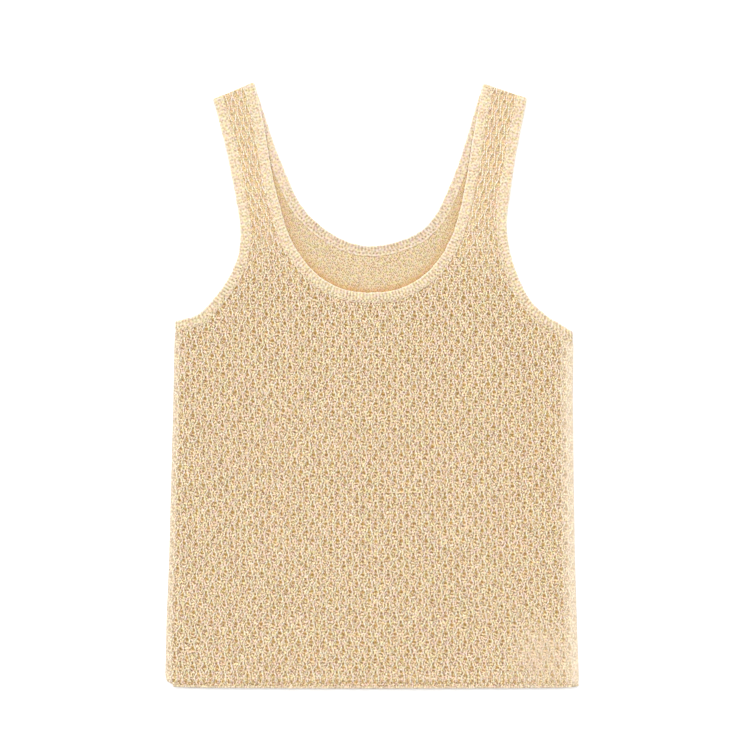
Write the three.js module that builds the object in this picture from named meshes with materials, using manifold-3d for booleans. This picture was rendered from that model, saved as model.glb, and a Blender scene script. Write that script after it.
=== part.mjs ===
// A knitted tank top laid flat with its front up: a front and a back panel in
// honeycomb stitch, one band round the neck and one round each armhole.
// Millimetres, +Z up. The back lies on z = 0, the hem at -Y and the straps at
// +Y, so the wearer's right side is at -X. The origin is the middle of the
// garment's outline, on the surface that it lies on.

import * as THREE from "three";
import { mergeVertices } from "three/addons/utils/BufferGeometryUtils.js";
import Module from "manifold-3d";

const wasm = await Module();
wasm.setup();

// Walls and seams
const WALL = 2.4; // thickness of the knit over its ridges, and of a band
const PIT_WALL = 1.2; // thickness of the knit in the pit of a cell
const SEAM_GAP = 0.3; // between two pieces, and between front and back
const EDGE_ROUND = 0.8; // chamfer along a panel's edges
const EDGE_TRIM = 0.1; // how far above its ridges the front's outline still cuts
const BACK_BASE = 0;
const FRONT_BASE = BACK_BASE + WALL + SEAM_GAP;
const MID_LEVEL = FRONT_BASE - SEAM_GAP / 2;

// Honeycomb stitch
const CELL_WIDTH = 11.6;
const CELL_HEIGHT = 16.4;
const STRAP_LEAN = 0.18; // sideways run of the stitch columns per mm up a strap
const LEAN_FROM = 100; // level where the columns start to lean with the straps
const HONEYCOMB_SPAN = { x: 200, y: 290 }; // half of what the relief has to cover

// Bands
const BAND_WIDTH = 10;
const BAND_ROUND = 0.9; // rounding of a band's long edges
const RIB_PITCH = 3.2; // the band's ribs run across it, on the side that shows
const RIB_DEPTH = 0.5; // how far the outer face drops between two ribs
const PLAIN_PITCH = 9.6; // spacing of the sections where a band or a seam is plain
const SQUARING_LENGTH = 40; // run over which a band turns to its fold line
const FOLD_TURNS = [0.25, 0.5, 0.75].map((share) => share * Math.PI);
const PANEL_REACH = 2.2; // how far the panels run past a band's fold line
const ARC_DIVISIONS = 2000; // how finely an edge's length is measured

// Fold lines of the two shoulders, between armhole and neck
const SHOULDER_RIGHT = { armhole: { x: -147.4, y: 264.4 }, neck: { x: -109.4, y: 280.4 } };
const SHOULDER_LEFT = { neck: { x: 102.9, y: 279.2 }, armhole: { x: 143.9, y: 265.4 } };

// Free edge of the armhole on the wearer's right, from underarm to shoulder
const ARMHOLE_RIGHT = [
  { x: -180.7, y: 60.6 },
  { x: -162.0, y: 66.6 },
  { x: -146.9, y: 81.4 },
  { x: -135.8, y: 96.3 },
  { x: -128.0, y: 111.6 },
  { x: -123.2, y: 129.0 },
  { x: -123.0, y: 150.0 },
  { x: -127.4, y: 178.1 },
  { x: -134.9, y: 215.3 },
  { x: -143.0, y: 248.8 },
  SHOULDER_RIGHT.armhole,
];

// Free edge of the armhole on the wearer's left, from shoulder to underarm
const ARMHOLE_LEFT = [
  SHOULDER_LEFT.armhole,
  { x: 140.4, y: 248.8 },
  { x: 133.9, y: 215.3 },
  { x: 128.3, y: 178.1 },
  { x: 125.6, y: 155.8 },
  { x: 126.8, y: 133.5 },
  { x: 131.1, y: 114.9 },
  { x: 137.4, y: 98.6 },
  { x: 147.0, y: 80.2 },
  { x: 160.9, y: 66.5 },
  { x: 184.4, y: 51.6 },
];

// Free edge of the front neckline, from the wearer's right shoulder to the left
const FRONT_NECK = [
  SHOULDER_RIGHT.neck,
  { x: -102.3, y: 251.6 },
  { x: -97.7, y: 225.5 },
  { x: -92.5, y: 195.0 },
  { x: -85.5, y: 167.0 },
  { x: -75.0, y: 135.0 },
  { x: -55.0, y: 107.0 },
  { x: -30.0, y: 91.0 },
  { x: -1.0, y: 86.5 },
  { x: 28.0, y: 91.3 },
  { x: 53.0, y: 106.8 },
  { x: 72.0, y: 133.6 },
  { x: 81.5, y: 162.0 },
  { x: 87.8, y: 192.0 },
  { x: 92.0, y: 218.0 },
  { x: 96.3, y: 243.0 },
  SHOULDER_LEFT.neck,
];

// The same for the back neckline, which is higher
const BACK_NECK = [
  SHOULDER_RIGHT.neck,
  { x: -101.6, y: 257.0 },
  { x: -92.5, y: 229.0 },
  { x: -80.8, y: 199.0 },
  { x: -66.0, y: 168.0 },
  { x: -44.0, y: 146.0 },
  { x: -20.0, y: 133.3 },
  { x: 1.0, y: 130.2 },
  { x: 22.0, y: 133.8 },
  { x: 44.0, y: 143.3 },
  { x: 60.0, y: 160.5 },
  { x: 73.0, y: 188.0 },
  { x: 84.0, y: 217.0 },
  { x: 93.5, y: 249.0 },
  SHOULDER_LEFT.neck,
];

// Side seams: how far the cloth reaches to the wearer's right and left, by level
const SIDES = [
  { level: 39, right: -184.1, left: 187.5 },
  { level: -15, right: -185.1, left: 187.0 },
  { level: -82, right: -186.9, left: 187.7 },
  { level: -160, right: -188.9, left: 188.9 },
  { level: -216, right: -191.3, left: 190.6 },
  { level: -270, right: -192.5, left: 192.5 },
];

// Hem, from the wearer's left to the right, with its two rounded corners
const HEM = [
  { x: 192.3, y: -277.4 },
  { x: 190.6, y: -280.2 },
  { x: 169.0, y: -281.6 },
  { x: 90.0, y: -282.1 },
  { x: 10.0, y: -282.3 },
  { x: -90.0, y: -282.0 },
  { x: -174.8, y: -281.4 },
  { x: -184.6, y: -279.4 },
  { x: -190.6, y: -275.6 },
];

const toVector = ({ x, y }) => new THREE.Vector2(x, y);
const direction = (from, to) => toVector(to).sub(toVector(from)).normalize();

// Directions in which a band's width runs where it folds over: down the side
// under the arm, and into the strap at the shoulder.
const DOWN_THE_SIDE = new THREE.Vector2(0, -1);
const FROM_ARMHOLE = {
  right: direction(SHOULDER_RIGHT.armhole, SHOULDER_RIGHT.neck),
  left: direction(SHOULDER_LEFT.armhole, SHOULDER_LEFT.neck),
};
const FROM_NECK = {
  right: FROM_ARMHOLE.right.clone().negate(),
  left: FROM_ARMHOLE.left.clone().negate(),
};

// Sections along one free edge, with the cloth on the right of its direction:
// the point on the edge, and the vector from it across the band to its seam.
function sectionsAlong(path, pitch) {
  const edge = new THREE.SplineCurve(path.rows.map(toVector));
  edge.arcLengthDivisions = ARC_DIVISIONS;
  const length = edge.getLength();
  const steps = 2 * Math.round(length / pitch / 2);
  const sections = [];
  for (let step = 0; step <= steps; step += 1) {
    const share = step / steps;
    const tangent = edge.getTangentAt(share);
    const square = new THREE.Vector2(tangent.y, -tangent.x);
    const nearStart = Math.max(0, 1 - (share * length) / SQUARING_LENGTH);
    const nearEnd = Math.max(0, 1 - ((1 - share) * length) / SQUARING_LENGTH);
    const across = square.clone().lerp(path.acrossStart, nearStart).lerp(path.acrossEnd, nearEnd);
    across.multiplyScalar(BAND_WIDTH / across.dot(square));
    const groove = step % 2 === 1;
    sections.push({ point: edge.getPointAt(share), across, groove });
  }
  return sections;
}

// The four free edges, each with the way its band's width runs at both ends
const ARMHOLE_RIGHT_PATH = {
  rows: ARMHOLE_RIGHT,
  acrossStart: DOWN_THE_SIDE,
  acrossEnd: FROM_ARMHOLE.right,
};
const ARMHOLE_LEFT_PATH = {
  rows: ARMHOLE_LEFT,
  acrossStart: FROM_ARMHOLE.left,
  acrossEnd: DOWN_THE_SIDE,
};
const FRONT_NECK_PATH = {
  rows: FRONT_NECK,
  acrossStart: FROM_NECK.right,
  acrossEnd: FROM_NECK.left,
};
const BACK_NECK_PATH = { ...FRONT_NECK_PATH, rows: BACK_NECK };

// Away from the cloth at the start and the end of a run of sections, square to
// the band's fold line there.
function waysOut(sections) {
  const first = sections[0].across;
  const last = sections.at(-1).across;
  return {
    start: new THREE.Vector2(first.y, -first.x).normalize(),
    end: new THREE.Vector2(-last.y, last.x).normalize(),
  };
}

function closedGeometry(positions, indices) {
  const geometry = new THREE.BufferGeometry();
  geometry.setAttribute("position", new THREE.Float32BufferAttribute(positions, 3));
  geometry.setIndex(indices);
  return geometry;
}

// A band's cross-section: how far across it from the free edge, and how far
// out from the mid level between front and back.
const BAND_INNER = SEAM_GAP / 2;
function bandSection(outer) {
  return [
    { across: BAND_ROUND / 2, out: BAND_INNER },
    { across: 0, out: BAND_INNER + WALL / 2 },
    { across: BAND_ROUND, out: outer },
    { across: BAND_WIDTH - BAND_ROUND, out: outer },
    { across: BAND_WIDTH, out: BAND_INNER },
  ];
}
const PLAIN_SECTION = bandSection(BAND_INNER + WALL);
const GROOVE_SECTION = bandSection(BAND_INNER + WALL - RIB_DEPTH);

// One ring of a band. Turn 0 is on the front and PI on the back, and between
// them the ring goes round the fold line on the side given by wayOut.
function bandRing({ point, across, groove }, wayOut, turn) {
  const section = groove && turn === 0 ? GROOVE_SECTION : PLAIN_SECTION;
  return section.map((corner) => {
    const place = point.clone().addScaledVector(across, corner.across / BAND_WIDTH);
    place.addScaledVector(wayOut, Math.sin(turn) * corner.out);
    return [place.x, place.y, MID_LEVEL + Math.cos(turn) * corner.out];
  });
}

// A band: along the front of its opening in ribs, over a fold, along the back,
// which lies flat, and over the other fold. Each ring is joined to the next.
function bandGeometry(frontPath, backPath) {
  const front = sectionsAlong(frontPath, RIB_PITCH / 2);
  const back = sectionsAlong(backPath, PLAIN_PITCH);
  const { start, end } = waysOut(front);
  const rings = [
    ...front.map((section) => bandRing(section, end, 0)),
    ...FOLD_TURNS.map((turn) => bandRing(front.at(-1), end, turn)),
    ...back.toReversed().map((section) => bandRing(section, end, Math.PI)),
    ...FOLD_TURNS.toReversed().map((turn) => bandRing(front[0], start, turn)),
  ];
  const corners = PLAIN_SECTION.length;
  const indices = [];
  for (let ring = 0; ring < rings.length; ring += 1) {
    const here = ring * corners;
    const next = ((ring + 1) % rings.length) * corners;
    for (let corner = 0; corner < corners; corner += 1) {
      const beside = (corner + 1) % corners;
      indices.push(here + corner, here + beside, next + beside);
      indices.push(here + corner, next + beside, next + corner);
    }
  }
  return closedGeometry(rings.flat(2), indices);
}

// Where a panel meets a band: the band's seam and the gap beside it, run on a
// little past the fold line at both ends.
function seamLine(path) {
  const sections = sectionsAlong(path, PLAIN_PITCH);
  const { start, end } = waysOut(sections);
  const share = 1 + SEAM_GAP / BAND_WIDTH;
  const line = sections.map(({ point, across }) => point.clone().addScaledVector(across, share));
  const before = line[0].clone().addScaledVector(start, PANEL_REACH);
  const after = line.at(-1).clone().addScaledVector(end, PANEL_REACH);
  return [before, ...line, after];
}

// A panel's outline, clockwise from the hem on the wearer's right.
function panelOutline(neckPath) {
  return new THREE.Shape([
    ...SIDES.toReversed().map(({ level, right }) => new THREE.Vector2(right, level)),
    ...seamLine(ARMHOLE_RIGHT_PATH),
    ...seamLine(neckPath),
    ...seamLine(ARMHOLE_LEFT_PATH),
    ...SIDES.map(({ level, left }) => new THREE.Vector2(left, level)),
    ...HEM.map(toVector),
  ]);
}

// A flat wall of cloth with chamfered edges, standing on a level.
function panelWall(outline, base, thickness) {
  const wall = new THREE.ExtrudeGeometry(outline, {
    depth: thickness - 2 * EDGE_ROUND,
    steps: 1,
    bevelThickness: EDGE_ROUND,
    bevelSize: EDGE_ROUND,
    bevelOffset: -EDGE_ROUND,
    bevelSegments: 1,
  });
  return wall.translate(0, 0, base + EDGE_ROUND);
}

// The corners round a grid's edge, anticlockwise from above.
function rimOfGrid(columns, rows, corner) {
  const rim = [];
  for (let column = 0; column < columns; column += 1) rim.push(corner(column, 0));
  for (let row = 0; row < rows; row += 1) rim.push(corner(columns, row));
  for (let column = columns; column > 0; column -= 1) rim.push(corner(column, rows));
  for (let row = rows; row > 0; row -= 1) rim.push(corner(0, row));
  return rim;
}

// Straight walls from a rim down to a level, and a floor of triangles that
// meet in the middle.
function closeBelow(positions, indices, rim, level) {
  const first = positions.length / 3;
  rim.forEach((top) => positions.push(positions[3 * top], positions[3 * top + 1], level));
  const middle = positions.length / 3;
  positions.push(0, 0, level);
  rim.forEach((top, index) => {
    const following = (index + 1) % rim.length;
    const low = first + index;
    const lowNext = first + following;
    indices.push(low, lowNext, rim[following]);
    indices.push(low, rim[following], top);
    indices.push(middle, lowNext, low);
  });
}

// A block whose top is the honeycomb: diamond pits in a net of ridges, on a
// lattice of half cells, with its columns leaning outwards along the straps.
function honeycombBlock(base) {
  const columns = 4 * Math.ceil(HONEYCOMB_SPAN.x / CELL_WIDTH);
  const rows = 4 * Math.ceil(HONEYCOMB_SPAN.y / CELL_HEIGHT);
  const corner = (column, row) => row * (columns + 1) + column;
  const positions = [];
  const indices = [];
  for (let row = 0; row <= rows; row += 1) {
    for (let column = 0; column <= columns; column += 1) {
      const x = (column - columns / 2) * (CELL_WIDTH / 2);
      const y = (row - rows / 2) * (CELL_HEIGHT / 2);
      const lean = Math.sign(x) * STRAP_LEAN * Math.max(0, y - LEAN_FROM);
      const pit = (row + column) % 2 === 0;
      positions.push(x + lean, y, base + (pit ? PIT_WALL : WALL));
    }
  }
  for (let row = 0; row < rows; row += 1) {
    for (let column = 0; column < columns; column += 1) {
      const a = corner(column, row);
      const b = corner(column + 1, row);
      const c = corner(column + 1, row + 1);
      const d = corner(column, row + 1);
      const ridgeFromA = (row + column) % 2 === 1;
      indices.push(...(ridgeFromA ? [a, b, c, a, c, d] : [a, b, d, b, c, d]));
    }
  }
  closeBelow(positions, indices, rimOfGrid(columns, rows, corner), base - WALL);
  return closedGeometry(positions, indices);
}

function toManifold(geometry) {
  const bare = geometry.clone();
  bare.deleteAttribute("normal");
  bare.deleteAttribute("uv");
  const merged = mergeVertices(bare);
  const vertProperties = new Float32Array(merged.attributes.position.array);
  const triVerts = new Uint32Array(merged.index.array);
  return new wasm.Manifold(new wasm.Mesh({ numProp: 3, vertProperties, triVerts }));
}

function frontPanelGeometry() {
  const wall = toManifold(panelWall(panelOutline(FRONT_NECK_PATH), FRONT_BASE, WALL + EDGE_TRIM));
  const relief = toManifold(honeycombBlock(FRONT_BASE));
  const { vertProperties, triVerts } = wall.intersect(relief).getMesh();
  return closedGeometry(Array.from(vertProperties), Array.from(triVerts));
}

function backPanelGeometry() {
  return panelWall(panelOutline(BACK_NECK_PATH), BACK_BASE, WALL);
}

// Cotton yarn in its three looks: the honeycomb, the smooth inside and the ribs
function knit(color) {
  return new THREE.MeshStandardMaterial({ color, roughness: 0.95, metalness: 0, flatShading: true });
}
const HONEYCOMB_KNIT = knit("#e0c6a1");
const SMOOTH_KNIT = knit("#e6cba3");
const BAND_KNIT = knit("#e8d4b6");

function piece(name, geometry, material) {
  const mesh = new THREE.Mesh(geometry, material);
  mesh.name = name;
  return mesh;
}

const garment = new THREE.Group();
garment.add(piece("back_panel", backPanelGeometry(), SMOOTH_KNIT));
garment.add(piece("front_panel", frontPanelGeometry(), HONEYCOMB_KNIT));
garment.add(piece("neck_band", bandGeometry(FRONT_NECK_PATH, BACK_NECK_PATH), BAND_KNIT));
for (const [side, path] of [["right", ARMHOLE_RIGHT_PATH], ["left", ARMHOLE_LEFT_PATH]]) {
  garment.add(piece(`armhole_band_${side}`, bandGeometry(path, path), BAND_KNIT));
}

export default garment;
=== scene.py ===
import math

import bpy
import numpy as np
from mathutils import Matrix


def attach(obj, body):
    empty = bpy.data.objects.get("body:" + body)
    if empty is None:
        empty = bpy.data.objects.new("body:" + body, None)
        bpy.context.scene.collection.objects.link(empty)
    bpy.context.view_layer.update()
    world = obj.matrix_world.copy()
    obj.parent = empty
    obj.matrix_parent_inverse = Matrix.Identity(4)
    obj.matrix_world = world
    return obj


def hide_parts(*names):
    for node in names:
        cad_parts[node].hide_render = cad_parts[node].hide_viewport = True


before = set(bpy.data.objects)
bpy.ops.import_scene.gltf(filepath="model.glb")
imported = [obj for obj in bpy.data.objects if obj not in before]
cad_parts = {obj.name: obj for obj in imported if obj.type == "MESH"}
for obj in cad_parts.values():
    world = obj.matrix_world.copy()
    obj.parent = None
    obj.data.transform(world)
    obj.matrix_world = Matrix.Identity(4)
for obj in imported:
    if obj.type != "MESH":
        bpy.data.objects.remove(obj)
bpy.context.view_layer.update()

# The camera looks straight down on the tank top, which lies flat with its
# front up, its straps away from the viewer and its hem near them.
CAMERA_HEIGHT = 1.652
CAMERA_MIDDLE = (0.0028, 0.0098)
CAMERA_LENS = 85
CAMERA_SENSOR = 36
camera_data = bpy.data.cameras.new("camera")
camera_data.lens = CAMERA_LENS
camera_data.sensor_width = CAMERA_SENSOR
camera = bpy.data.objects.new("camera", camera_data)
camera.location = (*CAMERA_MIDDLE, CAMERA_HEIGHT)
bpy.context.scene.collection.objects.link(camera)
bpy.context.scene.camera = camera
bpy.context.scene.view_settings.view_transform = "Standard"


# The front: a honeycomb knit whose raised stitch columns, the wales, sway
# towards and away from each other, with soft purl pits between them. It is one
# piece of cotton knit, its edges gathered under the bands at neck and armholes.
MM = 0.001
WALL = 2.4 * MM
SEAM_GAP = 0.3 * MM
FRONT_BASE = WALL + SEAM_GAP
MID_LEVEL = FRONT_BASE - SEAM_GAP / 2
BAND_WIDTH = 10 * MM
SQUARING_LENGTH = 40 * MM

SHOULDER_RIGHT = {"armhole": (-147.4, 264.4), "neck": (-109.4, 280.4)}
SHOULDER_LEFT = {"neck": (102.9, 279.2), "armhole": (143.9, 265.4)}

# Free edges in millimetres, with the cloth on the right of their direction
ARMHOLE_RIGHT = [
    (-180.7, 60.6), (-162.0, 66.6), (-146.9, 81.4), (-135.8, 96.3), (-128.0, 111.6),
    (-123.2, 129.0), (-123.0, 150.0), (-127.4, 178.1), (-134.9, 215.3), (-143.0, 248.8),
    SHOULDER_RIGHT["armhole"],
]
ARMHOLE_LEFT = [
    SHOULDER_LEFT["armhole"], (140.4, 248.8), (133.9, 215.3), (128.3, 178.1),
    (125.6, 155.8), (126.8, 133.5), (131.1, 114.9), (137.4, 98.6), (147.0, 80.2),
    (160.9, 66.5), (184.4, 51.6),
]
FRONT_NECK = [
    SHOULDER_RIGHT["neck"], (-102.3, 251.6), (-97.7, 225.5), (-92.5, 195.0),
    (-85.5, 167.0), (-75.0, 135.0), (-55.0, 107.0), (-30.0, 91.0), (-1.0, 86.5),
    (28.0, 91.3), (53.0, 106.8), (72.0, 133.6), (81.5, 162.0), (87.8, 192.0),
    (92.0, 218.0), (96.3, 243.0), SHOULDER_LEFT["neck"],
]

# Side seams: level, and how far the cloth reaches to the wearer's right and left
SIDE_SEAMS = MM * np.array([
    (39, -184.1, 187.5), (-15, -185.1, 187.0), (-82, -186.9, 187.7),
    (-160, -188.9, 188.9), (-216, -191.3, 190.6), (-270, -192.5, 192.5),
])
SEAMS_UPWARDS = SIDE_SEAMS[::-1]
HEM = [
    (192.3, -277.4), (190.6, -280.2), (169.0, -281.6), (90.0, -282.1), (10.0, -282.3),
    (-90.0, -282.0), (-175.5, -281.1), (-184.8, -278.3), (-191.2, -275.3),
]


def smoothstep(low, high, value):
    """A smooth rise from 0 at low to 1 at high."""
    share = np.clip((value - low) / (high - low), 0, 1)
    return share * share * (3 - 2 * share)


def curve_points(rows, divisions=160):
    """Points close together along the smooth curve through the rows, in metres."""
    p = np.array(rows, float) * MM
    padded = np.vstack([p[:1], p, p[-1:]])
    t = np.linspace(0, 1, divisions, endpoint=False)[:, None]
    spans = []
    for a, b, c, d in zip(padded, padded[1:], padded[2:], padded[3:]):
        start, end = (c - a) / 2, (d - b) / 2
        cubic = (2 * b - 2 * c + start + end) * t**3
        spans.append(cubic + (3 * c - 3 * b - 2 * start - end) * t**2 + start * t + b)
    return np.vstack(spans + [p[-1:]])


HEM_LINE = curve_points(HEM, divisions=8)


def reach_along(line):
    """How far along a line each of its points is."""
    return np.concatenate([[0], np.cumsum(np.linalg.norm(np.diff(line, axis=0), axis=1))])


def places_along(line, at):
    """The places at some lengths along a line."""
    reach = reach_along(line)
    return np.stack([np.interp(at, reach, line[:, axis]) for axis in (0, 1)], axis=1)


def directions(line):
    """Which way a line runs at each of its points."""
    tangent = np.gradient(line, axis=0)
    return tangent / np.linalg.norm(tangent, axis=1, keepdims=True)


def unit(vector):
    return np.array(vector, float) / np.linalg.norm(vector)


DOWN_THE_SIDE = np.array([0.0, -1.0])
FROM_ARMHOLE_RIGHT = unit(np.subtract(SHOULDER_RIGHT["neck"], SHOULDER_RIGHT["armhole"]))
FROM_ARMHOLE_LEFT = unit(np.subtract(SHOULDER_LEFT["neck"], SHOULDER_LEFT["armhole"]))


def edge_run(rows, across_start, across_end, pitch):
    """Even steps along a free edge: points, vectors across a band, and the length."""
    points = curve_points(rows)
    length = reach_along(points)[-1]
    steps = 2 * round(length / pitch / 2)
    at = np.linspace(0, length, steps + 1)
    place = places_along(points, at)
    tangent = directions(place)
    square = np.stack([tangent[:, 1], -tangent[:, 0]], axis=1)
    across = square
    for wanted, away in ((across_start, at), (across_end, length - at)):
        near = np.clip(1 - away / SQUARING_LENGTH, 0, 1)[:, None]
        across = across + (wanted - across) * near
    across *= BAND_WIDTH / np.sum(across * square, axis=1, keepdims=True)
    return place, across, length


def end_ways(across):
    """Which way the cloth runs on past the two ends of a free edge."""
    (start_x, start_y), (end_x, end_y) = across[0], across[-1]
    return unit((start_y, -start_x)), unit((-end_y, end_x))


ARMHOLE_RIGHT_EDGE = (ARMHOLE_RIGHT, DOWN_THE_SIDE, FROM_ARMHOLE_RIGHT)
ARMHOLE_LEFT_EDGE = (ARMHOLE_LEFT, FROM_ARMHOLE_LEFT, DOWN_THE_SIDE)
FRONT_NECK_EDGE = (FRONT_NECK, -FROM_ARMHOLE_RIGHT, -FROM_ARMHOLE_LEFT)
PANEL_REACH = 2.2 * MM
SEAM_STEP = 4 * MM


def seam_line(edge, share):
    """Where a panel ends under a band: a share of the way across it."""
    place, across, _ = edge_run(*edge, SEAM_STEP)
    line = place + across * share
    before, after = end_ways(across)
    return np.vstack([line[:1] + before * PANEL_REACH, line, line[-1:] + after * PANEL_REACH])


def seam_lines(neck_edge, share):
    """The ends of a panel under its three bands, from the wearer's right."""
    return [seam_line(edge, share) for edge in (ARMHOLE_RIGHT_EDGE, neck_edge, ARMHOLE_LEFT_EDGE)]


def panel_outline(neck_edge, share):
    """Clockwise from the hem on the wearer's right."""
    seams = seam_lines(neck_edge, share)
    return np.vstack([SEAMS_UPWARDS[:, [1, 0]], *seams, SIDE_SEAMS[:, [2, 0]], HEM_LINE])


def inside(points, outline):
    """Which points lie inside a closed outline."""
    within = np.zeros(len(points), bool)
    x, y = points[:, 0], points[:, 1]
    for (ax, ay), (bx, by) in zip(outline, np.roll(outline, -1, axis=0)):
        if ay == by:
            continue
        crosses = (ay > y) != (by > y)
        within ^= crosses & (x < (bx - ax) * (y - ay) / (by - ay) + ax)
    return within


NO_LENGTH = 1e-12


def nearest_on(points, runs):
    """How far each point is from some straight runs, and the nearest place on them."""
    best = np.full(len(points), np.inf)
    nearest = np.zeros_like(points)
    for a, b in runs:
        run = b - a
        share = np.clip(((points - a) @ run) / max(run @ run, NO_LENGTH), 0, 1)
        foot = a + share[:, None] * run
        gap = np.linalg.norm(points - foot, axis=1)
        closer = gap < best
        best[closer] = gap[closer]
        nearest[closer] = foot[closer]
    return best, nearest


def gap_to_lines(points, lines):
    """How far each point is from the nearest of some open lines."""
    return nearest_on(points, [run for line in lines for run in zip(line, line[1:])])[0]


# The stitch lattice: u counts wales from the middle, v counts rows of cells
# up from the hem. A cell is two wales wide and one row high.
HALF_WALES = 33
ROW_HEIGHT = 15.5 * MM
ROW_GROWTH = 0.02 * MM
ROW_SMILE = 6.5 * MM
SMILE_FROM = (0, 5)
SMILE_TO = (21, 27)
HEM_LEVEL = -282.2 * MM
WAIST_CROWDING = 0.03
TOP_ROW = 36
STRAP_WALE = 17.3
STRAP_PITCH = 3.75 * MM
STRAP_FROM = 80 * MM
STRAP_TO = 205 * MM
STRAP_SLOPE = 0.22
STRAP_MIDDLE = {"right": -98.6 * MM, "left": 96.6 * MM}
STRAP_LEVEL = 129 * MM
STRAP_SIDE = (1, 6)
CAST_ON_ROWS = (0.45, 0.85)

# How a wale swings on its way down a row, in wale spacings: beside a slit, a
# quick step away round the pit, beside the next slit, and a slower way back
SWAY_PATH = [
    (0.00, 0.27), (0.10, 0.25), (0.18, 0.10), (0.26, -0.07), (0.34, -0.14),
    (0.46, -0.17), (0.57, -0.15), (0.65, -0.05), (0.72, 0.03), (0.84, 0.04),
    (0.93, 0.12), (1.00, 0.27),
]


def side_at(y, side):
    """Where a side seam is at some levels: 1 is the wearer's right, 2 the left."""
    return np.interp(y, SEAMS_UPWARDS[:, 0], SEAMS_UPWARDS[:, side])


def lattice_to_plane(u, v):
    """Where a stitch lies in the plane of the cloth."""
    share = u / HALF_WALES
    y = HEM_LEVEL + ROW_HEIGHT * v + ROW_GROWTH * v**2
    smile = ROW_SMILE * share**2 * smoothstep(*SMILE_FROM, v) * (1 - smoothstep(*SMILE_TO, v))
    right, left = side_at(y, 1), side_at(y, 2)
    y = y + smile
    crowded = share * (1 + WAIST_CROWDING) - WAIST_CROWDING * share**3
    body = (left + right) / 2 + (left - right) / 2 * crowded
    outwards = STRAP_SLOPE * (y - STRAP_LEVEL)
    strap_right = STRAP_MIDDLE["right"] - outwards + (u + STRAP_WALE) * STRAP_PITCH
    strap_left = STRAP_MIDDLE["left"] + outwards + (u - STRAP_WALE) * STRAP_PITCH
    strap = np.where(u < 0, strap_right, strap_left)
    on_strap = smoothstep(STRAP_FROM, STRAP_TO, y)
    return body + (strap - body) * on_strap * smoothstep(*STRAP_SIDE, abs(u)), y


def sway_of(wale, v):
    """Sideways swing of a wale, as a share of the wale spacing."""
    down = (np.where(wale % 2 == 0, 0, 0.5) - v) % 1
    places, swings = np.array(SWAY_PATH).T
    return np.interp(down, places, swings) * smoothstep(*CAST_ON_ROWS, v)


# How far each wale swings in each row and drifts from its place: mean and spread
SEED = 11
RANDOM = np.random.default_rng(SEED)
SWINGS = (1.1, 0.15)
DRIFTS = (0, 0.03)
KNOTS = (2 * HALF_WALES + 3, TOP_ROW + 2)
SWING = RANDOM.normal(*SWINGS, KNOTS)
DRIFT = RANDOM.normal(*DRIFTS, KNOTS)


def wale_place(wale, v):
    """Where a wale runs at row v, in wale spacings from the middle: it swings
    out and back once a cell, no two swings quite alike."""
    column = wale + HALF_WALES + 1
    low = np.floor(v).astype(int)
    part = v - low
    swing, drift = [
        table[column, low] * (1 - part) + table[column, low + 1] * part for table in (SWING, DRIFT)
    ]
    return wale + sway_of(wale, v) * swing + drift


def rounded(distance, radius):
    """Height share of cloth that curves away towards an edge."""
    return np.sqrt(1 - (1 - np.clip(distance / radius, 0, 1)) ** 2)


UNDERARM_LEVEL = 75 * MM


def folded_lines(neck_edge):
    """The side seams, the hem and the shoulders, where the cloth rounds away."""
    right, left = [
        np.vstack([[SIDE_SEAMS[0][side], UNDERARM_LEVEL], SIDE_SEAMS[:, [side, 0]]])
        for side in (1, 2)
    ]
    hem = np.vstack([left[-1:], HEM_LINE, right[-1:]])
    armhole_right, neck, armhole_left = seam_lines(neck_edge, 1)
    shoulder_right = np.vstack([armhole_right[-1:], neck[:1]])
    shoulder_left = np.vstack([neck[-1:], armhole_left[:1]])
    return [right, left, hem, shoulder_right, shoulder_left]


def banded_lines(neck_edge, share):
    """Where the bands cover a panel."""
    return [line[1:-1] for line in seam_lines(neck_edge, share)]


CORNERS_INSIDE = 2


def cut_cloth(outline, wale_steps, row_steps):
    """A sheet on the stitch lattice, cut to an outline: the points in the plane,
    their places on the lattice, and its faces."""
    u = np.arange(-HALF_WALES * wale_steps, HALF_WALES * wale_steps + 1) / wale_steps
    v = np.arange(-row_steps, TOP_ROW * row_steps + 1) / row_steps
    grid_u, grid_v = (side.ravel() for side in np.meshgrid(u, v))
    plane = np.stack(lattice_to_plane(grid_u, grid_v), axis=1)
    within = inside(plane, outline)
    number = np.arange(len(plane)).reshape(len(v), len(u))
    corners = [number[:-1, :-1], number[:-1, 1:], number[1:, 1:], number[1:, :-1]]
    quads = np.stack(corners, axis=-1).reshape(-1, 4)
    quads = quads[within[quads].sum(axis=1) >= CORNERS_INSIDE]
    used, quads = np.unique(quads, return_inverse=True)
    plane, within = plane[used], within[used]
    outside = np.flatnonzero(~within)
    plane[outside] = nearest_on(plane[outside], zip(outline, np.roll(outline, -1, axis=0)))[1]
    return plane, np.stack([grid_u, grid_v], axis=1)[used], quads.reshape(-1, 4)


def mesh_object(name, points, faces, materials, lattice):
    """A smooth mesh piece, with its places on the stitch lattice as its UV map."""
    mesh = bpy.data.meshes.new(name)
    mesh.from_pydata(points.tolist(), [], faces)
    mesh.polygons.foreach_set("use_smooth", np.ones(len(mesh.polygons), bool))
    for material in materials:
        mesh.materials.append(material)
    corners = np.zeros(len(mesh.loops), int)
    mesh.loops.foreach_get("vertex_index", corners)
    layer = mesh.uv_layers.new(name="lattice")
    layer.data.foreach_set("uv", lattice[corners].ravel())
    piece = bpy.data.objects.new(name, mesh)
    bpy.context.scene.collection.objects.link(piece)
    return piece


def set_attribute(piece, name, values):
    """A value that the mesh keeps at each of its points, for its material to read."""
    kept_values = piece.data.attributes.new(name, "FLOAT", "POINT")
    kept_values.data.foreach_set("value", np.asarray(values, float))


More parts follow.
